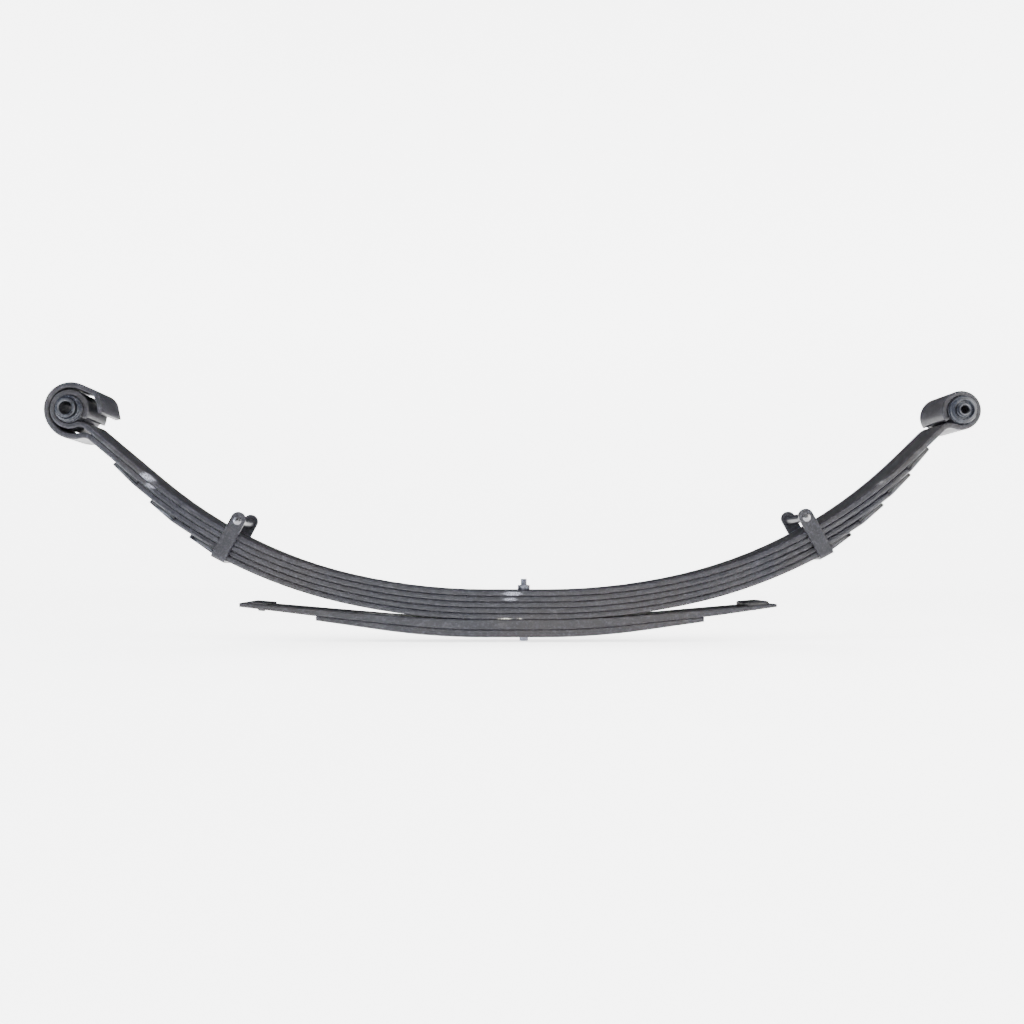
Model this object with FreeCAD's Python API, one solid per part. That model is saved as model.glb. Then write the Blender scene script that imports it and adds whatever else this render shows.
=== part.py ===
import FreeCAD, Part
import math
import os

# Semi-elliptic leaf spring: five main leaves over two helper leaves, one rolled
# eye with a rubber bush at each end, two rebound clips and a centre bolt.
# X runs from the front eye (-X) to the rear eye (+X), Y across the leaves, Z up.
# The origin is on the centre bolt's axis, on the face that sits on the axle.
# Every length is in millimetres and every angle in degrees.

V = FreeCAD.Vector
Y_AXIS = V(0, 1, 0)
Z_AXIS = V(0, 0, 1)

# Leaf stock
LEAF_W = 60.0
LEAF_T = 7.0
LEAF_GAP = 0.1
PITCH = LEAF_T + LEAF_GAP
EDGE_R = 2.2

# Camber of the lowest main leaf's underside: a flat seat, a gentle arc, a
# tighter arc and a straight end. The pattern's middle is ahead of the bolt.
MIDDLE_X = -7.4
FLAT_HALF = 38.0
GENTLE_R = 800.0
TIGHT_R = 613.0
GENTLE_END = 13.0
CURVE_END = {"front": 40.0, "rear": 44.2}
SIGN = {"front": -1.0, "rear": 1.0}

# Helper leaves: a flat seat, then bends with straight runs between them. Each
# bend is the distance out where it starts, its radius and the slope it leaves.
# Both leaves thin towards their ends.
HELPER_MIDDLE_X = -13.4
HELPER_FLAT_HALF = 35.0
LOWER_T = 9.3
UPPER_T = 12.6
LOWER_REACH = {"front": 242.0, "rear": 232.0}
UPPER_REACH = {"front": 335.5, "rear": 321.0}
LOWER_BENDS = [(HELPER_FLAT_HALF, 900.0, 8.2)]
CONTACT_BENDS = [(HELPER_FLAT_HALF, 950.0, 6.0)]
UPPER_BENDS = [(HELPER_FLAT_HALF, 1450.0, 4.8)]
TAPER_FROM = {"front": 244.0, "rear": 234.0}
TAPER_R = 600.0
TAPER_SLOPE = {"front": 7.0, "rear": 8.2}
HELPER_EDGE_R = 1.7
STACK_Z = LOWER_T + UPPER_T + 2 * LEAF_GAP
TOP_Z = STACK_Z + 5 * PITCH - LEAF_GAP

# Eyes rolled in the main leaf, nearly on the leaf's own line
EYE_IN_R = 17.0
EYE_MID_R = EYE_IN_R + LEAF_T / 2
EYE_RUN = {"front": 127.7, "rear": 77.8}
EYE_LIFT = {"front": 3.0, "rear": 0.0}
NECK_R = 14.0
ROLL_END = 9.0

# Second leaf's wrap round the front eye
WRAP_NECK_R = 15.0
WRAP_LOW_R = 33.4
WRAP_TOP_R = 29.7
WRAP_OFFSET = 1.8
WRAP_SLOPE = 23.0
WRAP_TOP_RUN = 14.6
WRAP_BEND_R = 14.0
WRAP_BEND = 56.0
WRAP_TAIL = 16.0

# Leaf tips: distance along the lowest face from the pattern's middle, length of
# the thinned part with its liner, the plug's distance from the tip, and how far
# the liner stops short of the tip
TIPS = {
    ("third", "front"): (555.0, 42.0, 25.0, 0.5),
    ("fourth", "front"): (490.5, 42.0, 25.0, 6.0),
    ("fifth", "front"): (425.0, 37.0, 22.5, 6.0),
    ("second", "rear"): (574.0, 42.0, 25.0, 0.5),
    ("third", "rear"): (535.0, 42.0, 25.0, 0.5),
    ("fourth", "rear"): (484.5, 42.0, 25.0, 0.5),
    ("fifth", "rear"): (430.5, 33.0, 19.0, 5.0),
}
LEVELS = {"main": 4, "second": 3, "third": 2, "fourth": 1, "fifth": 0}
# Plan of a tip: a slow taper on both sides, then cut corners
TRIM_LEN = 42.0
TRIM_IN = 8.0
CORNER_LEN = 2.5
CORNER_IN = 2.5

# Liner let into the top of a tip, and the taper ground on its underside
STEP_DEPTH = 2.4
TIP_THIN = 1.8
LINER_CLEAR = 0.3
LINER_TOP = 0.2
PLUG_R = 4.0
PLUG_HEAD_R = 4.5
PLUG_PROUD = 2.2

# Helper pads, each held by a plug with a low button under the leaf
PAD_LEN = 25.0
PAD_T = {"front": 2.4, "rear": 4.6}
PAD_FROM_END = 8.8
PAD_EDGE_R = {"front": 1.2, "rear": 2.2}
PAD_BUTTON_R = 4.6
PAD_BUTTON_H = {"front": 3.0, "rear": 1.8}

# Rebound clips
CLIP_AT = {"front": 378.5, "rear": 387.5}
STRAP_W = 18.0
STRAP_T = 3.0
CLIP_GAP = 61.0
STRAP_UNDER = 0.35
PIN_LEVEL = 50.5
EAR_LEVEL = 52.5
PIN_R = 3.9
PIN_HEAD_R = 5.0
PIN_HEAD_H = 1.3
SPACER_R = 5.5
RIVET_R = 3.6
RIVET_HEAD_R = 6.0
RIVET_SINK = 2.4
BUTTON_R = 5.0
BUTTON_H = 2.2

# Centre bolt
BOLT_R = 3.9
BOLT_HOLE_R = 4.3
BOLT_HEAD_R = 5.5
BOLT_HEAD_H = 6.3
BOLT_SPOT_R = 6.8
BOLT_SPOT_DEPTH = 0.8
NUT_AF = 13.0
NUT_H = 6.1
STUD_OUT = 13.9
THREAD_PITCH = 1.25

# Bushes
SHELL_R = 16.7
SHELL_T = 1.5
SLEEVE_CLEAR = 0.05
BUSH = {
    "front": {"bore": 8.0, "sleeve": 11.7, "proud": 11.0},
    "rear": {"bore": 5.1, "sleeve": 7.2, "proud": 8.0},
}


def rad(angle):
    return math.radians(angle)


def save(name, shape):
    if len(shape.Solids) != 1 or not shape.isValid():
        raise ValueError(name + " is not one sound solid")
    shape.exportStep("parts/" + name + ".step")


def fuse(shapes):
    whole = shapes[0]
    if len(shapes) > 1:
        whole = shapes[0].multiFuse(shapes[1:])
    whole = whole.removeSplitter()
    return whole.Solids[0]


# ---- paths in the side view ------------------------------------------------
# A path is drawn outward on either side: x is the distance out from the
# pattern's middle, z is up and the heading turns upward from level.


def walk(start, heading, moves):
    """Edges of a run of ("line", length) and ("arc", radius, turn) moves."""
    x, z = start
    edges = []
    for move in moves:
        if move[0] == "line":
            nx = x + move[1] * math.cos(rad(heading))
            nz = z + move[1] * math.sin(rad(heading))
            edges.append(("line", (x, z), (nx, nz)))
        else:
            hand = 1.0 if move[2] > 0 else -1.0
            cx = x - hand * move[1] * math.sin(rad(heading))
            cz = z + hand * move[1] * math.cos(rad(heading))
            half = heading + move[2] / 2
            full = heading + move[2]
            mx = cx + hand * move[1] * math.sin(rad(half))
            mz = cz - hand * move[1] * math.cos(rad(half))
            nx = cx + hand * move[1] * math.sin(rad(full))
            nz = cz - hand * move[1] * math.cos(rad(full))
            edges.append(("arc", (x, z), (mx, mz), (nx, nz)))
            heading = full
        x, z = nx, nz
    return edges


def to_world(point, side, middle=MIDDLE_X):
    return V(middle + SIGN[side] * point[0], 0, point[1])


def to_edges(run, side, middle=MIDDLE_X):
    made = []
    for item in run:
        points = [to_world(p, side, middle) for p in item[1:]]
        if item[0] == "line":
            made.append(Part.LineSegment(*points).toShape())
        else:
            made.append(Part.Arc(*points).toShape())
    return made


def arm_moves(side, level, end):
    """Moves from the flat seat to the station at distance end."""
    first = GENTLE_R * rad(GENTLE_END)
    second = TIGHT_R * rad(CURVE_END[side] - GENTLE_END)
    moves = [("arc", GENTLE_R - level, GENTLE_END)]
    left = end - FLAT_HALF - first
    if left < second:
        moves.append(("arc", TIGHT_R - level, math.degrees(left / TIGHT_R)))
        return moves
    moves.append(("arc", TIGHT_R - level, CURVE_END[side] - GENTLE_END))
    if left - second > 0.01:
        moves.append(("line", left - second))
    return moves


def station(side, distance, level):
    """Point, outward direction and upward normal at a distance and level."""
    run = walk((FLAT_HALF, STACK_Z), 0.0, arm_moves(side, 0.0, distance))
    first = GENTLE_R * rad(GENTLE_END)
    heading = GENTLE_END + math.degrees((distance - FLAT_HALF - first) / TIGHT_R)
    heading = rad(min(heading, CURVE_END[side]))
    out = V(SIGN[side] * math.cos(heading), 0, math.sin(heading))
    up = V(-SIGN[side] * math.sin(heading), 0, math.cos(heading))
    return to_world(run[-1][-1], side) + up * level, out, up


# ---- solids ----------------------------------------------------------------


def section(origin, along, width, thick, radius):
    """Rounded rectangle square to the direction along, centred on origin."""
    up = V(0, 1, 0).cross(along)
    a = width / 2
    b = thick / 2
    corners = [(a, b), (-a, b), (-a, -b), (a, -b)]
    k = radius * (1 - math.sqrt(0.5))
    edges = []
    ends = []
    for cy, cz in corners:
        sy = math.copysign(1, cy)
        sz = math.copysign(1, cz)
        on_side = (cy, cz - sz * radius)
        on_face = (cy - sy * radius, cz)
        middle = (cy - sy * k, cz - sz * k)
        pair = (on_side, on_face) if sy * sz > 0 else (on_face, on_side)
        ends.append((pair[0], middle, pair[1]))
    for index, (start, middle, end) in enumerate(ends):
        trio = [origin + Y_AXIS * p[0] + up * p[1] for p in (start, middle, end)]
        edges.append(Part.Arc(*trio).toShape())
        following = ends[(index + 1) % 4][0]
        after = origin + Y_AXIS * following[0] + up * following[1]
        edges.append(Part.LineSegment(trio[2], after).toShape())
    return Part.Wire(edges)


def sweep(edges, width, thick, radius):
    path = Part.Wire(edges)
    first = path.OrderedEdges[0]
    start = first.valueAt(first.FirstParameter)
    along = first.tangentAt(first.FirstParameter)
    if first.Orientation == "Reversed":
        start = first.valueAt(first.LastParameter)
        along = first.tangentAt(first.LastParameter) * -1
    profile = section(start, along, width, thick, radius)
    return path.makePipeShell([profile], True, True)


def leaf(front_run, rear_run, level):
    """One main leaf swept from its front end to its rear end."""
    edges = list(reversed(to_edges(front_run, "front")))
    height = STACK_Z + level
    left = V(MIDDLE_X - FLAT_HALF, 0, height)
    right = V(MIDDLE_X + FLAT_HALF, 0, height)
    edges.append(Part.LineSegment(left, right).toShape())
    edges.extend(to_edges(rear_run, "rear"))
    body = sweep(edges, LEAF_W, LEAF_T, EDGE_R)
    hole = Part.makeCylinder(BOLT_HOLE_R, 20, V(0, 0, height - 10), Z_AXIS)
    return body.cut(hole)


def prism(points, vector):
    return Part.Face(Part.makePolygon(points + [points[0]])).extrude(vector)


def band(side, start, end, low, high, width):
    """Bar that follows the camber between two distances and two levels."""
    floor_edges = between(side, low, start, end)
    roof_edges = between(side, high, start, end)
    a = floor_edges[0].valueAt(floor_edges[0].FirstParameter)
    b = roof_edges[0].valueAt(roof_edges[0].FirstParameter)
    c = floor_edges[-1].valueAt(floor_edges[-1].LastParameter)
    d = roof_edges[-1].valueAt(roof_edges[-1].LastParameter)
    caps = [Part.LineSegment(a, b).toShape(), Part.LineSegment(c, d).toShape()]
    wire = Part.Wire(Part.__sortEdges__(floor_edges + roof_edges + caps))
    face = Part.Face(wire)
    face.translate(V(0, -width / 2, 0))
    return face.extrude(V(0, width, 0))


def between(side, level, start, end):
    """Edges of the camber curve at a level, from start to end."""
    bend = FLAT_HALF + GENTLE_R * rad(GENTLE_END)
    bend += TIGHT_R * rad(CURVE_END[side] - GENTLE_END)
    marks = [start, end]
    if start < bend - 0.01 and end > bend + 0.01:
        marks = [start, bend, end]
    edges = []
    for near, far in zip(marks, marks[1:]):
        p, _, _ = station(side, near, level)
        q, _, _ = station(side, far, level)
        if far > bend + 0.01:
            edges.append(Part.LineSegment(p, q).toShape())
        else:
            m, _, _ = station(side, (near + far) / 2, level)
            edges.append(Part.Arc(p, m, q).toShape())
    return edges


def tip_trims(side, distance, inset):
    """Wedges that narrow a tip in plan, one for each edge."""
    wedges = []
    point, out, up = station(side, distance, 0)
    base = point - up * 15
    end_in = TRIM_IN + CORNER_IN
    plan = [(-TRIM_LEN, 0), (-CORNER_LEN, TRIM_IN), (0, end_in)]
    plan += [(8, end_in), (8, -12), (-TRIM_LEN, -12)]
    for hand in (-1, 1):
        edge = LEAF_W / 2 - inset
        corners = [base + out * along + Y_AXIS * (hand * (edge - deep)) for along, deep in plan]
        wedges.append(prism(corners, up * 70))
    return wedges


def tip_under(name, side, inset):
    """Point on a thinned tip's underside, at a distance in from the tip."""
    distance, thin_len, _, _ = TIPS[(name, side)]
    level = LEVELS[name] * PITCH
    start, _, _ = station(side, distance - thin_len, level)
    end, _, _ = station(side, distance, level + TIP_THIN)
    return start + (end - start) * ((thin_len - inset) / thin_len)


def tip_wedge(name, side):
    """Wedge ground away under a tip, wider than the leaf."""
    start = tip_under(name, side, TIPS[(name, side)][1])
    end = tip_under(name, side, -6)
    corners = [start, end, end - Z_AXIS * 20, start - Z_AXIS * 20]
    return prism([p - Y_AXIS * LEAF_W for p in corners], Y_AXIS * (2 * LEAF_W))


def finish_tip(body, name, side):
    """Trims and thins a leaf's tip, lets in the liner and drills its hole."""
    distance, thin_len, plug_in, short = TIPS[(name, side)]
    top = LEVELS[name] * PITCH + LEAF_T
    end = distance - short + LINER_CLEAR if short > 1 else distance + 6
    step = band(side, distance - thin_len, end, top - STEP_DEPTH, top + 3, LEAF_W + 8)
    point, _, up = station(side, distance - plug_in, top - 20)
    hole = Part.makeCylinder(PLUG_R + LINER_CLEAR, 40, point, up)
    return body.cut([step, hole, tip_wedge(name, side)] + tip_trims(side, distance, 0))


def tip_liner(name, side):
    """Flat liner with a plug through the leaf and a button head below it."""
    distance, thin_len, plug_in, short = TIPS[(name, side)]
    top = LEVELS[name] * PITCH + LEAF_T
    low = top - STEP_DEPTH + LINER_CLEAR
    pad = band(side, distance - thin_len + 2, distance - short, low, top - LINER_TOP, LEAF_W - 1)
    pad = pad.cut(tip_trims(side, distance - 0.5, 0.5))
    point, _, up = station(side, distance - plug_in, low + 0.5)
    foot = point - up * ((point - tip_under(name, side, plug_in)).dot(up) + LINER_CLEAR)
    drop = (point - foot).Length + PLUG_PROUD
    plug = Part.makeCylinder(PLUG_R, drop, point, up * -1)
    head = Part.makeCylinder(PLUG_HEAD_R, PLUG_PROUD, foot, up * -1)
    head = head.makeFillet(1.0, [e for e in head.Edges if far_circle(e, foot, PLUG_PROUD)])
    return fuse([pad, plug, head])


def far_circle(edge, point, distance):
    if not isinstance(edge.Curve, Part.Circle):
        return False
    return abs((edge.Curve.Center - point).Length - distance) < 0.01


# ---- main leaves -----------------------------------------------------------


def main_leaf():
    level = 4 * PITCH + LEAF_T / 2
    runs = {}
    for side in ("front", "rear"):
        lift = EYE_LIFT[side]
        neck = math.degrees(math.acos((lift + NECK_R) / (NECK_R + EYE_MID_R)))
        back = math.sqrt((NECK_R + EYE_MID_R) ** 2 - (lift + NECK_R) ** 2)
        moves = [
            ("arc", GENTLE_R - level, GENTLE_END),
            ("arc", TIGHT_R - level, CURVE_END[side] - GENTLE_END),
            ("line", EYE_RUN[side] - back),
            ("arc", NECK_R, -neck),
            ("arc", EYE_MID_R, neck + 135 - ROLL_END),
            ("arc", EYE_MID_R, 135),
        ]
        runs[side] = walk((FLAT_HALF, STACK_Z + level), 0.0, moves)
    return leaf(runs["front"], runs["rear"], level)


def eye_centre(side):
    level = 4 * PITCH + LEAF_T / 2
    bend = FLAT_HALF + GENTLE_R * rad(GENTLE_END)
    bend += TIGHT_R * rad(CURVE_END[side] - GENTLE_END)
    point, out, up = station(side, bend, level)
    return point + out * EYE_RUN[side] + up * EYE_LIFT[side]


def plain_run(name, side):
    level = LEVELS[name] * PITCH + LEAF_T / 2
    moves = arm_moves(side, level, TIPS[(name, side)][0])
    return walk((FLAT_HALF, STACK_Z + level), 0.0, moves)


def second_leaf():
    level = 3 * PITCH + LEAF_T / 2
    tilt = rad(CURVE_END["front"])
    shift = WRAP_OFFSET + WRAP_LOW_R - WRAP_TOP_R
    height = PITCH + EYE_LIFT["front"] + shift * math.sin(tilt)
    reach = WRAP_NECK_R + WRAP_LOW_R
    neck = math.degrees(math.acos((height + WRAP_NECK_R) / reach))
    back = math.sqrt(reach ** 2 - (height + WRAP_NECK_R) ** 2)
    moves = [
        ("arc", GENTLE_R - level, GENTLE_END),
        ("arc", TIGHT_R - level, CURVE_END["front"] - GENTLE_END),
        ("line", EYE_RUN["front"] - shift * math.cos(tilt) - back),
        ("arc", WRAP_NECK_R, -neck),
        ("arc", WRAP_LOW_R, 90 + neck - CURVE_END["front"]),
        ("arc", WRAP_TOP_R, 90 + WRAP_SLOPE),
        ("line", WRAP_TOP_RUN),
        ("arc", WRAP_BEND_R, WRAP_BEND),
        ("line", WRAP_TAIL),
    ]
    front = walk((FLAT_HALF, STACK_Z + level), 0.0, moves)
    body = leaf(front, plain_run("second", "rear"), level)
    return finish_tip(body, "second", "rear")


def short_leaf(name):
    level = LEVELS[name] * PITCH + LEAF_T / 2
    body = leaf(plain_run(name, "front"), plain_run(name, "rear"), level)
    for side in ("front", "rear"):
        body = finish_tip(body, name, side)
    if name == "fifth":
        for side in ("front", "rear"):
            body = body.cut(rivet_hole(side))
    return body


# ---- helper leaves ---------------------------------------------------------


def helper_edge(side, bends, height, reach):
    """Edges and far end of one helper face, from its flat to a distance out."""
    moves = []
    x = HELPER_FLAT_HALF
    slope = 0.0
    for start, radius, after in bends:
        if start > x:
            moves.append(("line", (start - x) / math.cos(rad(slope))))
            x = start
        moves.append(("arc", radius, after - slope))
        x += radius * (math.sin(rad(after)) - math.sin(rad(slope)))
        slope = after
    moves.append(("line", (reach - x) / math.cos(rad(slope))))
    run = walk((HELPER_FLAT_HALF, height), 0.0, moves)
    return to_edges(run, side, HELPER_MIDDLE_X), to_world(run[-1][-1], side, HELPER_MIDDLE_X)


def helper_leaf(low_bends, low_z, high_bends, high_z, reach):
    edges = []
    left = HELPER_MIDDLE_X - HELPER_FLAT_HALF
    right = HELPER_MIDDLE_X + HELPER_FLAT_HALF
    for height in (low_z, high_z):
        edges.append(Part.LineSegment(V(left, 0, height), V(right, 0, height)).toShape())
    for side in ("front", "rear"):
        low_edges, low_end = helper_edge(side, low_bends[side], low_z, reach[side])
        high_edges, high_end = helper_edge(side, high_bends[side], high_z, reach[side])
        edges.extend(low_edges + high_edges)
        edges.append(Part.LineSegment(low_end, high_end).toShape())
    face = Part.Face(Part.Wire(Part.__sortEdges__(edges)))
    face.translate(V(0, -LEAF_W / 2, 0))
    body = face.extrude(V(0, LEAF_W, 0))
    rims = [e for e in body.Edges if runs_along(e)]
    body = body.makeFillet(HELPER_EDGE_R, rims)
    hole = Part.makeCylinder(BOLT_HOLE_R, 60, V(0, 0, -20), Z_AXIS)
    return body.cut(hole)


def runs_along(edge):
    box = edge.BoundBox
    on_rim = abs(abs(box.Center.y) - LEAF_W / 2) < 0.01
    return on_rim and box.YLength < 0.01 and box.XLength > 5


def both(bends):
    return {"front": bends, "rear": bends}


def lower_helper():
    """Lower helper, spot-faced round the bolt hole so the head seats squarely."""
    body = helper_leaf(both(LOWER_BENDS), 0.0, both(CONTACT_BENDS), LOWER_T, LOWER_REACH)
    spot = Part.makeCylinder(BOLT_SPOT_R, BOLT_SPOT_DEPTH + 5, V(0, 0, -5), Z_AXIS)
    return body.cut(spot)


def upper_helper():
    """Upper helper, with a steeper underside past the end of the lower one."""
    low = LOWER_T + LEAF_GAP
    under = {}
    for side in ("front", "rear"):
        under[side] = CONTACT_BENDS + [(TAPER_FROM[side], TAPER_R, TAPER_SLOPE[side])]
    body = helper_leaf(under, low, both(UPPER_BENDS), low + UPPER_T, UPPER_REACH)
    for side in ("front", "rear"):
        point, out, up = pad_place(side)
        body = body.cut(Part.makeCylinder(PLUG_R + LINER_CLEAR, 30, point - up * 25, up))
    return body


def pad_place(side):
    """Middle of a helper pad's seat, with its outward and upward directions."""
    height = LOWER_T + LEAF_GAP + UPPER_T
    distance = UPPER_REACH[side] - PAD_FROM_END - PAD_LEN / 2
    _, point = helper_edge(side, UPPER_BENDS, height, distance)
    slope = rad(UPPER_BENDS[0][2])
    out = V(SIGN[side] * math.cos(slope), 0, math.sin(slope))
    up = V(-SIGN[side] * math.sin(slope), 0, math.cos(slope))
    return point, out, up


def helper_pad(side):
    point, out, up = pad_place(side)
    half = PAD_LEN / 2
    wide = LEAF_W / 2 - 3
    corners = [(-half, -wide), (half, -wide), (half, wide), (-half, wide)]
    pad = prism([point + out * a + Y_AXIS * b for a, b in corners], up * PAD_T[side])
    rims = [e for e in pad.Edges if abs((e.CenterOfMass - point).dot(up) - PAD_T[side]) < 0.1]
    pad = pad.makeFillet(PAD_EDGE_R[side], rims)
    under = leaf_under_pad(side)
    plug = Part.makeCylinder(PLUG_R, under + 1.0, point + up * 0.5, up * -1)
    seat = point - up * (under + LINER_CLEAR)
    button_h = PAD_BUTTON_H[side]
    button = Part.makeCylinder(PAD_BUTTON_R, button_h, seat, up * -1)
    button = button.makeFillet(0.8, [e for e in button.Edges if far_circle(e, seat, button_h)])
    return fuse([pad, plug, button])


def leaf_under_pad(side):
    """Greatest depth of the upper helper below the pad, across the button."""
    point, out, up = pad_place(side)
    low = LOWER_T + LEAF_GAP
    bends = CONTACT_BENDS + [(TAPER_FROM[side], TAPER_R, TAPER_SLOPE[side])]
    inner = abs(point.x - HELPER_MIDDLE_X) - PAD_BUTTON_R - 1.0
    _, under = helper_edge(side, bends, low, inner)
    return (point - under).dot(up)


# ---- rebound clips ---------------------------------------------------------


def clip_strap(side):
    """U-shaped strap under the lowest main leaf, with round ears at the top."""
    point, out, up = station(side, CLIP_AT[side], 0)
    half = CLIP_GAP / 2
    outer = half + STRAP_T
    floor = -STRAP_UNDER
    base = floor - STRAP_T
    body = strap_block(point, out, up, outer, base, EAR_LEVEL, STRAP_T + 1.5)
    body = body.cut(strap_block(point, out, up, half, floor, 90, 1.5))
    axis = point + up * EAR_LEVEL - Y_AXIS * outer
    ears = Part.makeCylinder(STRAP_W / 2, 2 * outer, axis, Y_AXIS)
    ears = ears.cut(Part.makeCylinder(STRAP_W, 2 * half, axis + Y_AXIS * STRAP_T, Y_AXIS))
    body = fuse([body] + ears.Solids)
    pin_start = point + up * PIN_LEVEL - Y_AXIS * outer
    body = body.cut(Part.makeCylinder(PIN_R + 0.1, 2 * outer, pin_start, Y_AXIS))
    return body.cut(Part.makeCylinder(RIVET_R, 10, point - up * 8, up))


def strap_block(point, out, up, half, low, high, radius):
    """Block across the leaves, rounded along both of its lower edges."""
    corner = point - out * (STRAP_W / 2)
    places = [(-half, low), (half, low), (half, high), (-half, high)]
    block = prism([corner + Y_AXIS * y + up * n for y, n in places], out * STRAP_W)
    folds = [e for e in block.Edges if is_fold(e, out, up, point, low)]
    return block.makeFillet(radius, folds)


def is_fold(edge, out, up, point, level):
    middle = edge.CenterOfMass
    lengthwise = abs(abs(edge.tangentAt(edge.FirstParameter).dot(out)) - 1) < 0.001
    return lengthwise and abs((middle - point).dot(up) - level) < 0.01


def clip_spacer(side):
    point, _, up = station(side, CLIP_AT[side], PIN_LEVEL)
    start = point - Y_AXIS * (CLIP_GAP / 2)
    tube = Part.makeCylinder(SPACER_R, CLIP_GAP, start, Y_AXIS)
    return tube.cut(Part.makeCylinder(PIN_R + 0.2, CLIP_GAP, start, Y_AXIS))


def dome(seat, toward, radius, height):
    """Low spherical head that stands on a flat seat."""
    ball_r = (radius ** 2 + height ** 2) / (2 * height)
    ball = Part.makeSphere(ball_r, seat - toward * (ball_r - height))
    return ball.common(Part.makeCylinder(radius + 1, height + 1, seat, toward))


def clip_pin(side):
    point, _, up = station(side, CLIP_AT[side], PIN_LEVEL)
    outer = CLIP_GAP / 2 + STRAP_T
    parts = [Part.makeCylinder(PIN_R, 2 * outer, point - Y_AXIS * outer, Y_AXIS)]
    for toward in (Y_AXIS, Y_AXIS * -1):
        parts.append(dome(point + toward * outer, toward, PIN_HEAD_R, PIN_HEAD_H))
    return fuse(parts)


def base_rivet(side):
    """Rivet through the strap's base, countersunk in the lowest main leaf."""
    point, _, up = station(side, CLIP_AT[side], 0)
    base = -STRAP_UNDER - STRAP_T
    top = LEAF_T - 0.3
    shank = Part.makeCylinder(RIVET_R, top - base, point + up * base, up)
    sink = point + up * (top - RIVET_SINK)
    cone = Part.makeCone(RIVET_R, RIVET_HEAD_R, RIVET_SINK, sink, up)
    return fuse([shank, cone, dome(point + up * base, up * -1, BUTTON_R, BUTTON_H)])


def rivet_hole(side):
    """Clearance for the base rivet in the lowest main leaf."""
    point, _, up = station(side, CLIP_AT[side], 0)
    clear = LINER_CLEAR
    top = LEAF_T - 0.3
    bore = Part.makeCylinder(RIVET_R + clear, LEAF_T + 2, point - up, up)
    sink = point + up * (top - RIVET_SINK)
    cone = Part.makeCone(RIVET_R + clear, RIVET_HEAD_R + clear, RIVET_SINK, sink, up)
    mouth = Part.makeCylinder(RIVET_HEAD_R + clear, 1.0, point + up * top, up)
    return fuse([bore, cone, mouth])


# ---- bushes ----------------------------------------------------------------


def turned(side, profile):
    """Solid turned about the eye's axis from (radius, y) corners."""
    centre = eye_centre(side)
    points = [centre + V(r, y, 0) for r, y in profile]
    face = Part.Face(Part.makePolygon(points + [points[0]]))
    return face.revolve(centre, Y_AXIS, 360)


def bush_shell(side):
    half = LEAF_W / 2
    inner = SHELL_R - SHELL_T
    lip = 0.6
    return turned(side, [
        (inner, -half),
        (SHELL_R - lip, -half),
        (SHELL_R, -half + lip),
        (SHELL_R, half - lip),
        (SHELL_R - lip, half),
        (inner, half),
    ])


def bush_rubber(side):
    """Rubber bonded in the shell, with a stepped bulge past each edge."""
    bore = BUSH[side]["sleeve"] + SLEEVE_CLEAR
    half = LEAF_W / 2
    if side == "front":
        bulge = [
            (15.2, half),
            (16.3, half + 0.8),
            (16.5, half + 2.0),
            (15.9, half + 3.2),
            (14.6, half + 4.0),
            (14.3, half + 5.6),
            (13.6, half + 6.4),
            (13.0, half + 6.4),
            (12.5, half + 5.2),
            (bore, half + 5.0),
        ]
    else:
        bulge = [
            (15.2, half),
            (16.6, half + 0.6),
            (17.0, half + 1.6),
            (16.8, half + 4.2),
            (15.6, half + 5.4),
            (12.6, half + 5.8),
            (11.6, half + 5.2),
            (11.2, half + 3.2),
            (9.4, half + 3.0),
            (9.0, half + 4.8),
            (8.2, half + 5.4),
            (bore, half + 5.4),
        ]
    mirrored = [(r, -y) for r, y in reversed(bulge)]
    return turned(side, bulge + mirrored)


def bush_sleeve(side):
    size = BUSH[side]
    end = LEAF_W / 2 + size["proud"]
    rim = 0.9
    return turned(side, [
        (size["bore"], -end + rim),
        (size["bore"] + rim, -end),
        (size["sleeve"] - 0.5, -end),
        (size["sleeve"], -end + 0.5),
        (size["sleeve"], end - 0.5),
        (size["sleeve"] - 0.5, end),
        (size["bore"] + rim, end),
        (size["bore"], end - rim),
    ])


# ---- centre bolt -----------------------------------------------------------


def centre_bolt():
    """Round-headed bolt, seated in the spot face, with turned thread grooves."""
    head_h = BOLT_HEAD_H + BOLT_SPOT_DEPTH
    head = Part.makeCylinder(BOLT_HEAD_R, head_h, V(0, 0, -BOLT_HEAD_H), Z_AXIS)
    rims = [e for e in head.Edges if far_circle(e, V(0, 0, 0), BOLT_HEAD_H)]
    head = head.makeChamfer(0.8, rims)
    top = TOP_Z + STUD_OUT
    stud = Part.makeCylinder(BOLT_R, top, V(0, 0, 0), Z_AXIS)
    rims = [e for e in stud.Edges if far_circle(e, V(0, 0, 0), top)]
    stud = stud.makeChamfer(0.8, rims)
    bolt = fuse([head, stud])
    grooves = []
    height = TOP_Z + NUT_H + THREAD_PITCH / 2
    while height < top - 1.2:
        rim = BOLT_R + 0.3
        corners = [(BOLT_R - 0.55, height), (rim, height - 0.6), (rim, height + 0.6)]
        points = [V(r, 0, z) for r, z in corners]
        face = Part.Face(Part.makePolygon(points + [points[0]]))
        grooves.append(face.revolve(V(0, 0, 0), Z_AXIS, 360))
        height += THREAD_PITCH
    return bolt.cut(grooves)


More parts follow.
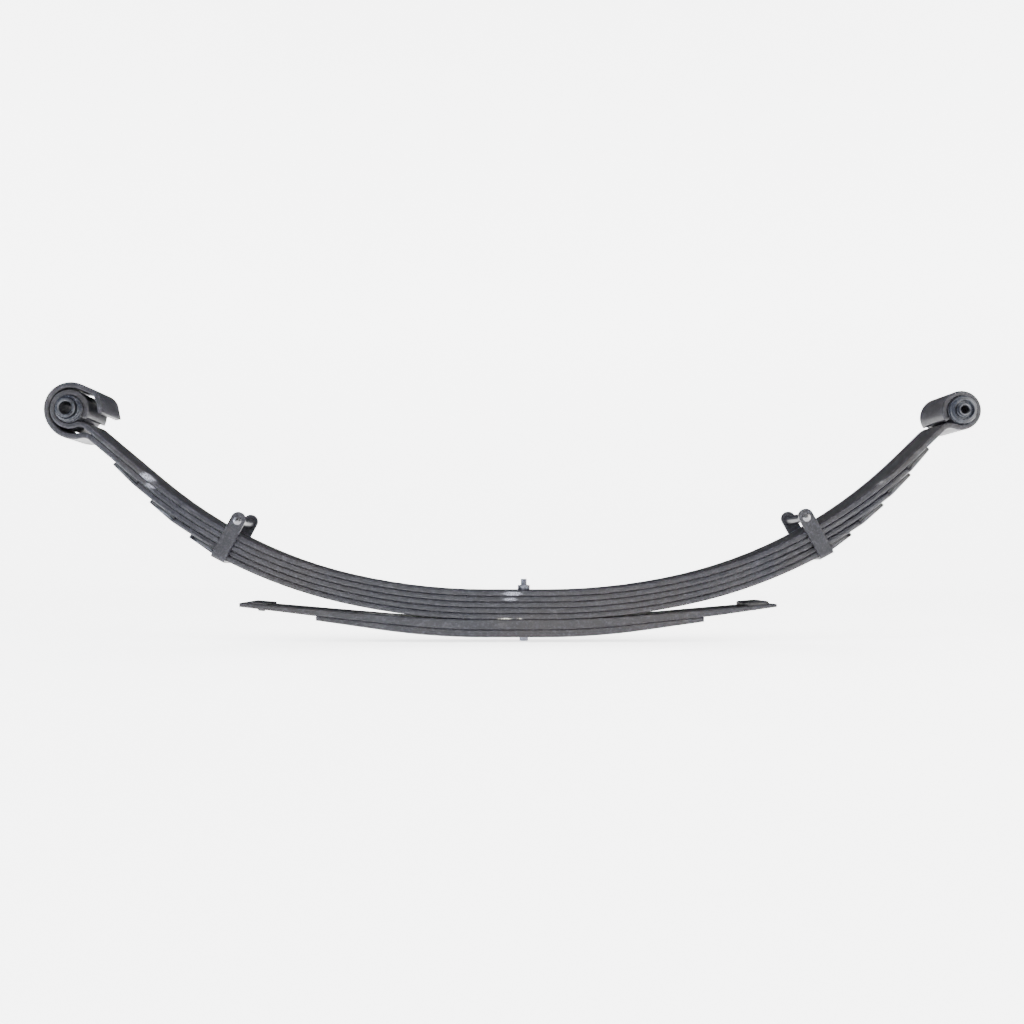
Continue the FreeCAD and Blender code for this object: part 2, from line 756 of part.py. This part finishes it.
def centre_nut():
    corner = NUT_AF / 2 / math.cos(rad(30))
    points = []
    for index in range(6):
        angle = rad(60 * index)
        points.append(V(corner * math.cos(angle), corner * math.sin(angle), TOP_Z))
    body = prism(points, V(0, 0, NUT_H))
    foot = V(0, 0, TOP_Z)
    crown = Part.makeCone(corner + NUT_H * 1.75, NUT_AF / 2 - 0.2, NUT_H + 0.5, foot, Z_AXIS)
    body = body.common(crown)
    return body.cut(Part.makeCylinder(BOLT_R, 20, V(0, 0, TOP_Z - 5), Z_AXIS))


# ---- all pieces ------------------------------------------------------------

os.makedirs("parts", exist_ok=True)

save("main_leaf", main_leaf())
save("second_leaf", second_leaf())
for ordinal in ("third", "fourth", "fifth"):
    save(ordinal + "_leaf", short_leaf(ordinal))
save("upper_helper_leaf", upper_helper())
save("lower_helper_leaf", lower_helper())
save("centre_bolt", centre_bolt())
save("centre_nut", centre_nut())
for end_name in ("front", "rear"):
    save(end_name + "_bush_shell", bush_shell(end_name))
    save(end_name + "_bush_rubber", bush_rubber(end_name))
    save(end_name + "_bush_sleeve", bush_sleeve(end_name))
    save(end_name + "_clip_strap", clip_strap(end_name))
    save(end_name + "_clip_spacer", clip_spacer(end_name))
    save(end_name + "_clip_pin", clip_pin(end_name))
    save(end_name + "_clip_base_rivet", base_rivet(end_name))
    save(end_name + "_helper_pad", helper_pad(end_name))
for ordinal, end_name in TIPS:
    save(end_name + "_" + ordinal + "_tip_liner", tip_liner(ordinal, end_name))
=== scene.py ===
import math

import bmesh
import bpy
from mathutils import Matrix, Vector


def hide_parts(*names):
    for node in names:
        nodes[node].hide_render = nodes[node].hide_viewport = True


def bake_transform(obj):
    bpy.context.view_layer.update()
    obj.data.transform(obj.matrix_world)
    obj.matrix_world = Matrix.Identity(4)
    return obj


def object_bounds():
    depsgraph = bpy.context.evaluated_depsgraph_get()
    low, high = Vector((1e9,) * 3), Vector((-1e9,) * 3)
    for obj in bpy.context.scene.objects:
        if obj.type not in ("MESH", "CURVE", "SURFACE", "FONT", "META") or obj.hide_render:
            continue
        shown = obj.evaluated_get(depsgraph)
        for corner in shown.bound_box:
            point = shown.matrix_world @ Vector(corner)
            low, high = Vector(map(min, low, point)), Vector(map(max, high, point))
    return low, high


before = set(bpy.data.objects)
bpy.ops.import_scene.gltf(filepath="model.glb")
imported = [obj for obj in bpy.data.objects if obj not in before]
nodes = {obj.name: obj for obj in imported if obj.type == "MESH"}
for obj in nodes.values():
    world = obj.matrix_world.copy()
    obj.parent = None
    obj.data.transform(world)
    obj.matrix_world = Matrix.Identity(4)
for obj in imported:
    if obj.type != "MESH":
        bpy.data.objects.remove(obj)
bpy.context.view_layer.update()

MAIN_LEAVES = ("main_leaf", "second_leaf", "third_leaf", "fourth_leaf", "fifth_leaf")
BEND_FROM = 0.050  # where a main leaf leaves its seat, from the centre bolt, in metres
BEND_TO = 0.335  # where it has become rigid with its arm
BEND_SLICES = 36
SAME_POINT = 1e-6
SHARP_FROM = math.radians(40)

FLOOR_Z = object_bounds()[0].z
FLOOR_RADIUS = 3.0
WALL_CURVE = 1.6  # radius of the cove between the floor and the wall
WALL_TOP = 6.0
COVE_STEPS = 24
TURN_STEPS = 96

CAMERA_PLACE = (-0.061, -1.170, 0.0885)
CAMERA_SHIFT = (0.0361, 0.0518)
SENSOR = 36.0
FOCAL_RATIO = 934 / 1024  # focal length over the picture's width


# ---- shader building -------------------------------------------------------


class Shader:
    """A material whose nodes are added one call at a time."""

    def __init__(self, name):
        self.material = bpy.data.materials.new(name)
        self.material.use_nodes = True
        self.tree = self.material.node_tree
        self.bsdf = next(n for n in self.tree.nodes if n.type == "BSDF_PRINCIPLED")
        self.place = self.add("ShaderNodeTexCoord").outputs["Object"]
        self.normal = None

    def add(self, kind, **settings):
        node = self.tree.nodes.new(kind)
        for key, value in settings.items():
            setattr(node, key, value)
        return node

    def put(self, socket, value):
        if isinstance(value, bpy.types.NodeSocket):
            self.tree.links.new(value, socket)
        else:
            socket.default_value = value

    def set(self, name, value):
        self.put(self.bsdf.inputs[name], value)

    def math(self, operation, a, b=0.5, c=0.5, clamp=False):
        node = self.add("ShaderNodeMath", operation=operation, use_clamp=clamp)
        for socket, value in zip(node.inputs, (a, b, c)):
            self.put(socket, value)
        return node.outputs[0]

    def stretched(self, scale, offset=(0, 0, 0)):
        node = self.add("ShaderNodeMapping")
        self.put(node.inputs["Vector"], self.place)
        node.inputs["Scale"].default_value = scale
        node.inputs["Location"].default_value = offset
        return node.outputs[0]

    def noise(self, scale, detail=3.0, rough=0.55, vector=None):
        node = self.add("ShaderNodeTexNoise")
        self.put(node.inputs["Vector"], vector or self.place)
        self.put(node.inputs["Scale"], scale)
        self.put(node.inputs["Detail"], detail)
        self.put(node.inputs["Roughness"], rough)
        return node.outputs[0]

    def cells(self, scale, vector=None):
        node = self.add("ShaderNodeTexVoronoi")
        self.put(node.inputs["Vector"], vector or self.place)
        self.put(node.inputs["Scale"], scale)
        return node.outputs["Distance"]

    def span(self, value, low, high, to_low=0.0, to_high=1.0, smooth=True):
        kind = "SMOOTHSTEP" if smooth else "LINEAR"
        node = self.add("ShaderNodeMapRange", interpolation_type=kind)
        for socket, item in zip(node.inputs, (value, low, high, to_low, to_high)):
            self.put(socket, item)
        return node.outputs[0]

    def mix(self, factor, a, b):
        node = self.add("ShaderNodeMix", data_type="RGBA")
        self.put(node.inputs[0], factor)
        self.put(node.inputs[6], a)
        self.put(node.inputs[7], b)
        return node.outputs[2]

    def bump(self, height, strength, distance):
        node = self.add("ShaderNodeBump")
        self.put(node.inputs["Height"], height)
        self.put(node.inputs["Strength"], strength)
        self.put(node.inputs["Distance"], distance)
        if self.normal is not None:
            self.put(node.inputs["Normal"], self.normal)
        self.normal = node.outputs[0]
        self.set("Normal", self.normal)

    def patch(self, centre, reach, edge=0.35):
        """1 inside an ellipsoid of the object's space, ragged at its rim, 0 outside."""
        shift = self.add("ShaderNodeVectorMath", operation="SUBTRACT")
        self.put(shift.inputs[0], self.place)
        shift.inputs[1].default_value = centre
        scale = self.add("ShaderNodeVectorMath", operation="DIVIDE")
        self.put(scale.inputs[0], shift.outputs[0])
        scale.inputs[1].default_value = reach
        length = self.add("ShaderNodeVectorMath", operation="LENGTH")
        self.put(length.inputs[0], scale.outputs[0])
        ragged = self.math("MULTIPLY_ADD", self.noise(420.0, 4.0, 0.7), 1.3, -0.65)
        wide = self.math("ADD", length.outputs["Value"], ragged)
        return self.span(wide, 1.0 - edge, 1.0 + edge, 1.0, 0.0)


def colour(red, green, blue):
    return (red, green, blue, 1.0)


def leaf_paint(name, base, warm, painted_highlights=(), rough=0.33):
    """Semi-gloss black paint over hot-rolled spring steel."""
    s = Shader(name)
    blotch = s.noise(9.0, 5.0, 0.6)
    tone = s.mix(s.span(blotch, 0.35, 0.68), base, warm)
    grain = s.noise(1500.0, 2.0, 0.6)
    tone = s.mix(s.span(grain, 0.35, 0.75, 0.0, 0.30), tone, colour(0.060, 0.060, 0.070))
    speckle = s.span(s.noise(380.0, 4.0, 0.75), 0.50, 0.66, 0.0, 0.75)
    tone = s.mix(speckle, tone, colour(0.032, 0.032, 0.040))
    pits = s.cells(330.0)
    dusty = s.span(s.noise(48.0, 6.0, 0.66), 0.55, 0.78, 0.0, 0.25)
    tone = s.mix(dusty, tone, colour(0.070, 0.068, 0.070))
    streak = s.noise(1.0, 4.0, 0.7, s.stretched((14.0, 900.0, 900.0)))
    scratch = s.span(streak, 0.70, 0.74, 0.0, 0.5)
    tone = s.mix(scratch, tone, colour(0.12, 0.12, 0.13))
    shine = s.span(blotch, 0.3, 0.7, rough - 0.07, rough + 0.09)
    # Painted highlights: each listed patch is lightened towards a pale colour, standing in
    # for light caught on the leaves, and made a little rougher.
    for centre, reach, shade, strength in painted_highlights:
        broken = s.span(s.noise(700.0, 4.0, 0.7), 0.42, 0.60)
        mask = s.math("MULTIPLY", s.patch(centre, reach), broken)
        mask = s.math("MULTIPLY", mask, strength)
        tone = s.mix(mask, tone, shade)
        shine = s.math("MULTIPLY_ADD", mask, 0.25, shine)
    s.set("Base Color", tone)
    s.set("Roughness", shine)
    s.set("Specular IOR Level", 0.22)
    s.bump(s.noise(260.0, 3.0, 0.6), 0.34, 0.0005)
    s.bump(grain, 0.18, 0.00012)
    s.bump(s.span(pits, 0.0, 0.32), 0.16, 0.0002)
    return s.material


def bright_steel(name, base, rough):
    """Bare or plated steel with fine tool lines and a few dull spots."""
    s = Shader(name)
    blotch = s.noise(140.0, 4.0, 0.6)
    dark = tuple(c * 0.45 for c in base[:3]) + (1.0,)
    s.set("Base Color", s.mix(s.span(blotch, 0.45, 0.72, 0.0, 0.8), base, dark))
    s.set("Metallic", 0.92)
    dull = s.noise(420.0, 3.0)
    s.set("Roughness", s.span(dull, 0.3, 0.7, rough - 0.08, rough + 0.14))
    lines = s.noise(1.0, 2.0, 0.5, s.stretched((500.0, 9000.0, 500.0)))
    s.bump(lines, 0.22, 0.00008)
    s.bump(blotch, 0.2, 0.0002)
    return s.material


def rubber(name):
    """Moulded bush rubber, semi-gloss, with a bluish bloom in specks."""
    s = Shader(name)
    blotch = s.noise(55.0, 4.0, 0.6)
    black, grey = colour(0.009, 0.010, 0.014), colour(0.018, 0.021, 0.028)
    tone = s.mix(s.span(blotch, 0.4, 0.7), black, grey)
    speck = s.span(s.noise(900.0, 3.0), 0.62, 0.72, 0.0, 0.4)
    s.set("Base Color", s.mix(speck, tone, colour(0.09, 0.10, 0.12)))
    s.set("Roughness", s.span(blotch, 0.3, 0.7, 0.16, 0.34))
    s.set("Specular IOR Level", 0.32)
    s.bump(s.noise(320.0, 4.0, 0.65), 0.35, 0.0005)
    s.bump(s.noise(70.0, 2.0), 0.3, 0.0012)
    return s.material


def plastic(name):
    """Dull black plastic of the tip liners and helper pads."""
    s = Shader(name)
    grain = s.noise(1100.0, 3.0, 0.6)
    black, grey = colour(0.004, 0.004, 0.005), colour(0.010, 0.010, 0.011)
    tone = s.mix(s.span(grain, 0.4, 0.7), black, grey)
    s.set("Base Color", tone)
    s.set("Roughness", s.span(s.noise(80.0), 0.3, 0.7, 0.55, 0.75))
    s.bump(grain, 0.25, 0.0002)
    return s.material


def floor_paint(name, glow):
    """Pale matt paint that glows a little, for the floor and the wall."""
    s = Shader(name)
    speck = s.noise(3.0, 4.0, 0.6)
    tone = s.mix(speck, colour(0.90, 0.90, 0.90), colour(0.94, 0.94, 0.94))
    s.set("Base Color", tone)
    s.set("Roughness", s.span(speck, 0.3, 0.7, 0.75, 0.85))
    s.set("Specular IOR Level", 0.1)
    s.set("Emission Color", tone)
    s.set("Emission Strength", glow)
    return s.material


# Painted highlight, bluish: light patches on the near side by the front eye and thin bands
# along the near edges at the centre, standing in for light on the rounded edges.
PAINTED_BLUE_HIGHLIGHT = colour(0.30, 0.31, 0.37)
# Painted highlight, near white: thin bands along the fifth leaf's near edge at the centre.
PAINTED_CREAM_HIGHLIGHT = colour(0.72, 0.71, 0.62)
# Painted highlight, light grey: a patch on the main leaf's near side by the rear eye.
PAINTED_GREY_HIGHLIGHT = colour(0.17, 0.17, 0.18)
# Painted highlights on the main leaf, as centre, reach, colour and strength.
MAIN_PAINTED_HIGHLIGHTS = (
    ((-0.458, -0.027, 0.197), (0.012, 0.012, 0.006), PAINTED_BLUE_HIGHLIGHT, 0.75),
    ((0.424, -0.028, 0.192), (0.014, 0.010, 0.006), PAINTED_GREY_HIGHLIGHT, 0.85),
    ((-0.016, -0.030, 0.0535), (0.011, 0.004, 0.0022), PAINTED_BLUE_HIGHLIGHT, 0.8),
)
# Painted highlights on the second leaf, as centre, reach, colour and strength.
SECOND_PAINTED_HIGHLIGHTS = (
    ((-0.452, -0.030, 0.186), (0.010, 0.006, 0.004), PAINTED_BLUE_HIGHLIGHT, 0.6),
    ((-0.018, -0.030, 0.0465), (0.008, 0.004, 0.0018), PAINTED_BLUE_HIGHLIGHT, 0.6),
)
# Painted highlights on the fifth leaf, as centre, reach, colour and strength.
FIFTH_PAINTED_HIGHLIGHTS = (
    ((-0.024, -0.031, 0.0225), (0.009, 0.003, 0.0012), PAINTED_CREAM_HIGHLIGHT, 1.0),
    ((-0.007, -0.031, 0.0225), (0.004, 0.003, 0.0012), PAINTED_CREAM_HIGHLIGHT, 1.0),
)
BLACK = colour(0.0045, 0.0050, 0.0070)
BROWN = colour(0.0090, 0.0080, 0.0078)

PAINTS = {
    "main_leaf": leaf_paint("paint_main", BLACK, BROWN, MAIN_PAINTED_HIGHLIGHTS),
    "second_leaf": leaf_paint("paint_second", BLACK, BROWN, SECOND_PAINTED_HIGHLIGHTS),
    "third_leaf": leaf_paint("paint_third", BLACK, BROWN),
    "fourth_leaf": leaf_paint("paint_fourth", BLACK, BROWN),
    "fifth_leaf": leaf_paint("paint_fifth", BLACK, BROWN, FIFTH_PAINTED_HIGHLIGHTS),
}
PAINTS["upper_helper_leaf"] = leaf_paint("paint_upper_helper", BLACK, BROWN, (), 0.36)
PAINTS["lower_helper_leaf"] = PAINTS["upper_helper_leaf"]
CLIP = leaf_paint("paint_clip", colour(0.005, 0.005, 0.006), BLACK, (), 0.36)
SHELL = leaf_paint("paint_shell", BLACK, BLACK, (), 0.30)
BOLT = bright_steel("zinc_steel", colour(0.16, 0.165, 0.20), 0.30)
PIN = bright_steel("peened_steel", colour(0.15, 0.15, 0.16), 0.26)
SLEEVE = bright_steel("oiled_steel", colour(0.070, 0.073, 0.082), 0.34)
RUBBER = rubber("bush_rubber")
PLASTIC = plastic("liner_plastic")


def wear(obj, material):
    obj.data.materials.clear()
    obj.data.materials.append(material)


for name, obj in nodes.items():
    if name in PAINTS:
        wear(obj, PAINTS[name])
    elif name.endswith(("clip_strap", "clip_spacer")):
        wear(obj, CLIP)
    elif name.endswith(("clip_pin", "clip_base_rivet")):
        wear(obj, PIN)
    elif name.endswith("bush_shell"):
        wear(obj, SHELL)
    elif name.endswith("bush_rubber"):
        wear(obj, RUBBER)
    elif name.endswith("bush_sleeve"):
        wear(obj, SLEEVE)
    elif name.startswith("centre_"):
        wear(obj, BOLT)
    else:
        wear(obj, PLASTIC)


# ---- main leaves cut into sliced halves ------------------------------------


def half_leaf(node, side, hand):
    """Half of a leaf, cut across the middle and sliced crosswise between where it leaves
    its seat and where it turns rigid.
    """
    mesh = bpy.data.meshes.new(node + "_" + side)
    obj = bpy.data.objects.new(node + "_" + side, mesh)
    bm = bmesh.new()
    bm.from_mesh(nodes[node].data)
    bmesh.ops.remove_doubles(bm, verts=bm.verts, dist=SAME_POINT)
    middle = Vector((0, 0, 0))
    away = Vector((-hand, 0, 0))
    everything = bm.verts[:] + bm.edges[:] + bm.faces[:]
    bmesh.ops.bisect_plane(
        bm, geom=everything, plane_co=middle, plane_no=away, clear_outer=True
    )
    for index in range(BEND_SLICES + 1):
        x = hand * (BEND_FROM + (BEND_TO - BEND_FROM) * index / BEND_SLICES)
        everything = bm.verts[:] + bm.edges[:] + bm.faces[:]
        bmesh.ops.bisect_plane(bm, geom=everything, plane_co=(x, 0, 0), plane_no=(1, 0, 0))
    bm.to_mesh(mesh)
    bm.free()
    mesh.shade_smooth()
    mesh.set_sharp_from_angle(angle=SHARP_FROM)
    bpy.context.scene.collection.objects.link(obj)
    weigh = obj.modifiers.new("face_weight", "WEIGHTED_NORMAL")
    weigh.keep_sharp = True
    bpy.context.view_layer.objects.active = obj
    obj.select_set(True)
    bpy.ops.object.modifier_apply(modifier=weigh.name)
    obj.select_set(False)
    wear(obj, PAINTS[node])
    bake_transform(obj)
    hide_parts(node)
    return obj


for leaf_name in MAIN_LEAVES:
    half_leaf(leaf_name, "front", -1)
    half_leaf(leaf_name, "rear", 1)


# ---- stage, light and camera -----------------------------------------------


def add_mesh(name, verts, faces):
    mesh = bpy.data.meshes.new(name)
    mesh.from_pydata(verts, [], faces)
    mesh.update()
    obj = bpy.data.objects.new(name, mesh)
    bpy.context.scene.collection.objects.link(obj)
    return obj


def turned_sheet(name, line, material):
    """Surface turned about Z through a line of (radius, z) places, off the model."""
    verts = []
    for radius, z in line:
        for index in range(TURN_STEPS):
            turn = 2 * math.pi * index / TURN_STEPS
            verts.append((radius * math.cos(turn), radius * math.sin(turn), z))
    faces = []
    for row in range(len(line) - 1):
        for index in range(TURN_STEPS):
            after = (index + 1) % TURN_STEPS
            low = row * TURN_STEPS
            high = low + TURN_STEPS
            faces.append((low + index, low + after, high + after, high + index))
    obj = add_mesh(name, verts, faces)
    obj.data.shade_smooth()
    wear(obj, material)
    return obj


def backdrop():
    """Round pale floor that curves up into a wall on every side."""
    white = floor_paint("backdrop_white", 2.5)
    radii = (0.001, FLOOR_RADIUS / 2, FLOOR_RADIUS)
    turned_sheet("floor", [(radius, FLOOR_Z) for radius in radii], white)
    line = []
    for index in range(COVE_STEPS + 1):
        turn = math.radians(90 * index / COVE_STEPS)
        radius = FLOOR_RADIUS + WALL_CURVE * math.sin(turn)
        line.append((radius, FLOOR_Z + WALL_CURVE * (1 - math.cos(turn))))
    line.append((FLOOR_RADIUS + WALL_CURVE, WALL_TOP))
    wall = turned_sheet("wall", line, white)
    wall.visible_glossy = False  # keeps a bright grazing reflection off the leaves


def lamp(name, place, target, wide, tall, power, tint):
    light = bpy.data.lights.new(name, "AREA")
    light.shape = "RECTANGLE"
    light.size = wide
    light.size_y = tall
    light.energy = power
    light.color = tint
    obj = bpy.data.objects.new(name, light)
    obj.location = place
    aim = Vector(target) - Vector(place)
    obj.rotation_euler = aim.to_track_quat("-Z", "Y").to_euler()
    bpy.context.scene.collection.objects.link(obj)


def sky():
    """Dim, slightly cool room light, a little weaker behind the spring."""
    world = bpy.data.worlds.new("studio")
    world.use_nodes = True
    tree = world.node_tree
    tree.nodes.clear()
    place = tree.nodes.new("ShaderNodeTexCoord")
    split = tree.nodes.new("ShaderNodeSeparateXYZ")
    ramp = tree.nodes.new("ShaderNodeMapRange")
    ramp.inputs["From Min"].default_value = -0.75
    ramp.inputs["From Max"].default_value = 0.15
    ramp.inputs["To Min"].default_value = 0.06
    ramp.inputs["To Max"].default_value = 0.05
    background = tree.nodes.new("ShaderNodeBackground")
    background.inputs["Color"].default_value = colour(0.97, 0.98, 1.0)
    output = tree.nodes.new("ShaderNodeOutputWorld")
    tree.links.new(place.outputs["Generated"], split.inputs[0])
    tree.links.new(split.outputs["Y"], ramp.inputs["Value"])
    tree.links.new(ramp.outputs[0], background.inputs["Strength"])
    tree.links.new(background.outputs[0], output.inputs["Surface"])
    bpy.context.scene.world = world


def camera():
    data = bpy.data.cameras.new("camera")
    data.sensor_width = SENSOR
    data.lens = SENSOR * FOCAL_RATIO
    data.shift_x, data.shift_y = CAMERA_SHIFT
    data.clip_start = 0.05
    data.clip_end = 50.0
    obj = bpy.data.objects.new("camera", data)
    obj.location = CAMERA_PLACE
    obj.rotation_euler = (math.radians(90), 0, 0)
    bpy.context.scene.collection.objects.link(obj)
    bpy.context.scene.camera = obj


backdrop()
sky()
lamp("top_soft", (0.3, -0.6, 1.7), (0.1, 0, 0.1), 1.6, 0.7, 16, (1.0, 0.97, 0.95))
lamp("left_low", (-1.5, -0.6, 0.10), (-0.45, 0, 0.15), 0.5, 0.16, 14, (0.74, 0.84, 1.0))
lamp("left_soft", (-1.7, -0.9, 0.9), (-0.3, 0, 0.12), 0.6, 1.1, 12, (0.80, 0.86, 1.0))
lamp("right_soft", (1.5, -0.9, 0.5), (0.3, 0, 0.12), 0.8, 1.0, 27, (1.0, 0.96, 0.90))
camera()
